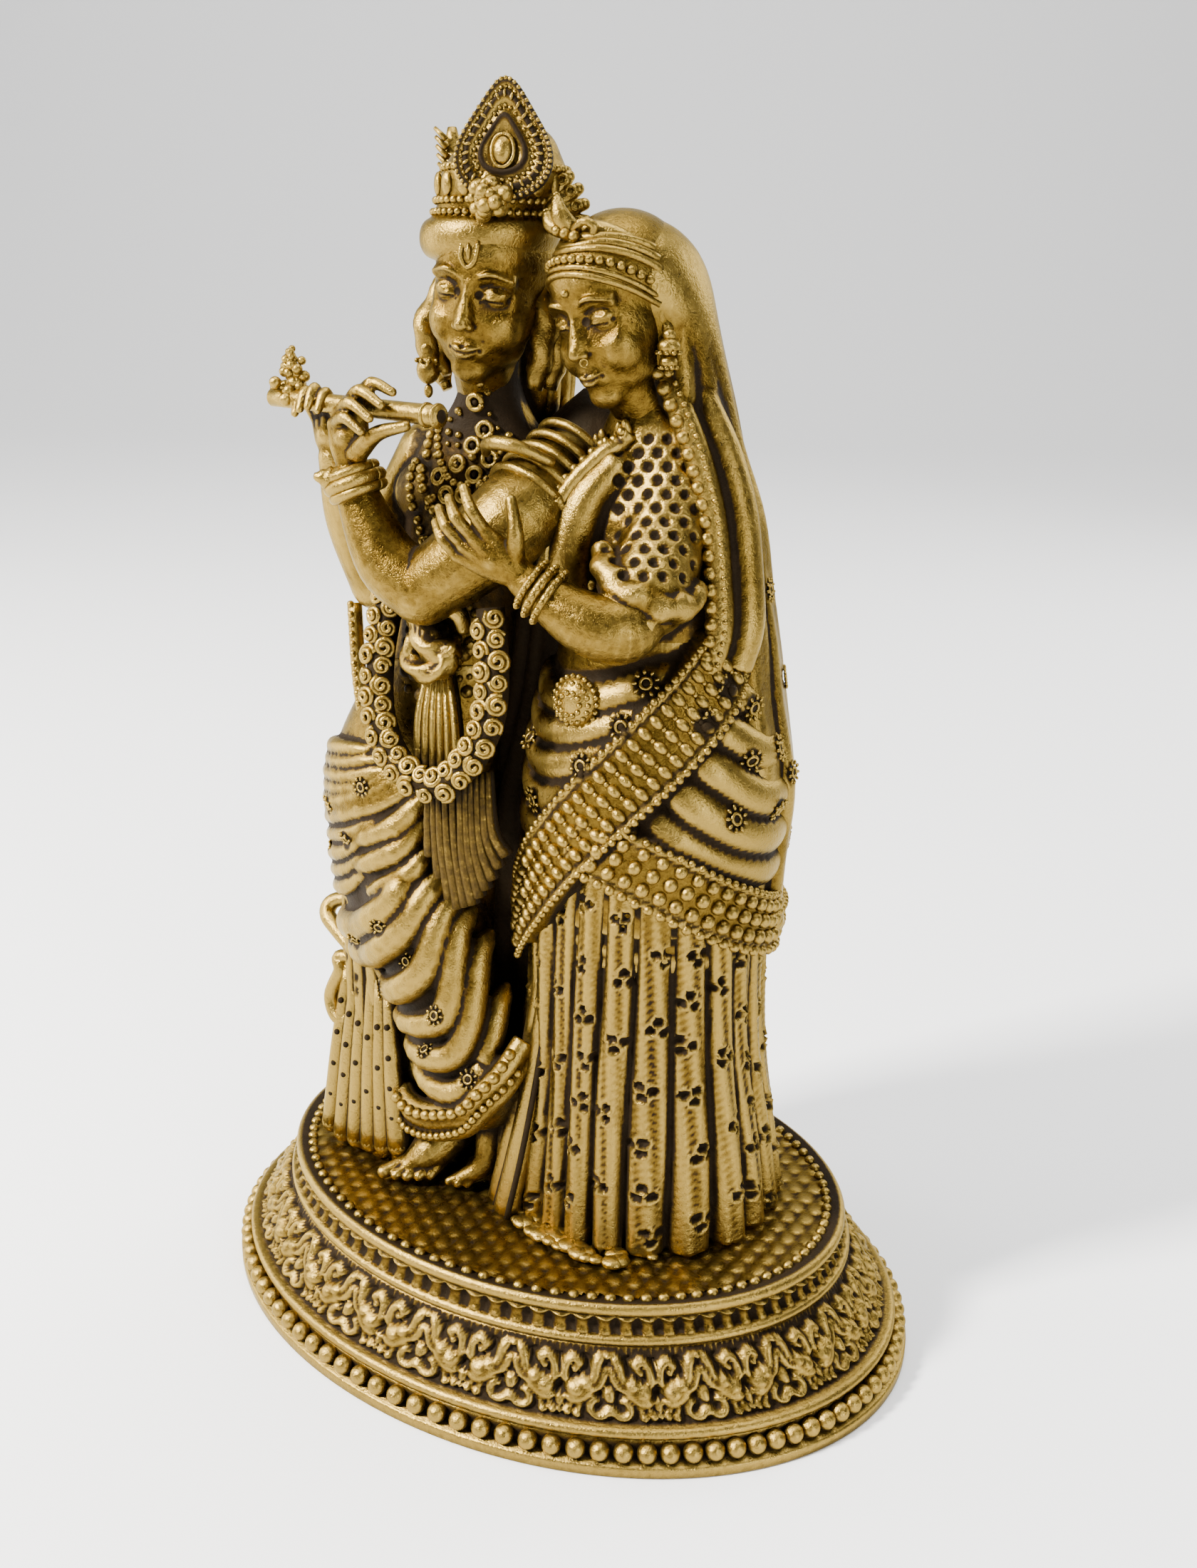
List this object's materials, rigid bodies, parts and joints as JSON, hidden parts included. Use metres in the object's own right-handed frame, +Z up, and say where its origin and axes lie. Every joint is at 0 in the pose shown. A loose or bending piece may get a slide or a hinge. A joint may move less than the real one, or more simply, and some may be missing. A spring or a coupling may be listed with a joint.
{
  "type": "radha krishna statue",
  "caption": "Small cast statue of Radha and Krishna standing together with a flute, on an oval plinth with a beaded foot and a swan frieze, in antique gold.",
  "frame": {"origin": "middle of the plinth's flat underside, at the bottom centre of the bounding box", "axes": "+Z is up, the figures look towards -Y, Krishna stands on the -X side and Radha on the +X side, the oval is longest along X"},
  "size_m": [0.084, 0.0628, 0.1297],
  "materials": {
    "plinth_gold": "cast resin under satin antique gold paint, dark brown patina in the recesses",
    "figures_gold": "cast resin under satin antique gold paint, dark brown patina in the recesses"
  },
  "bodies": {
    "root": {"plinth": "plinth_gold", "figures": "figures_gold"}
  },
  "joints": []
}
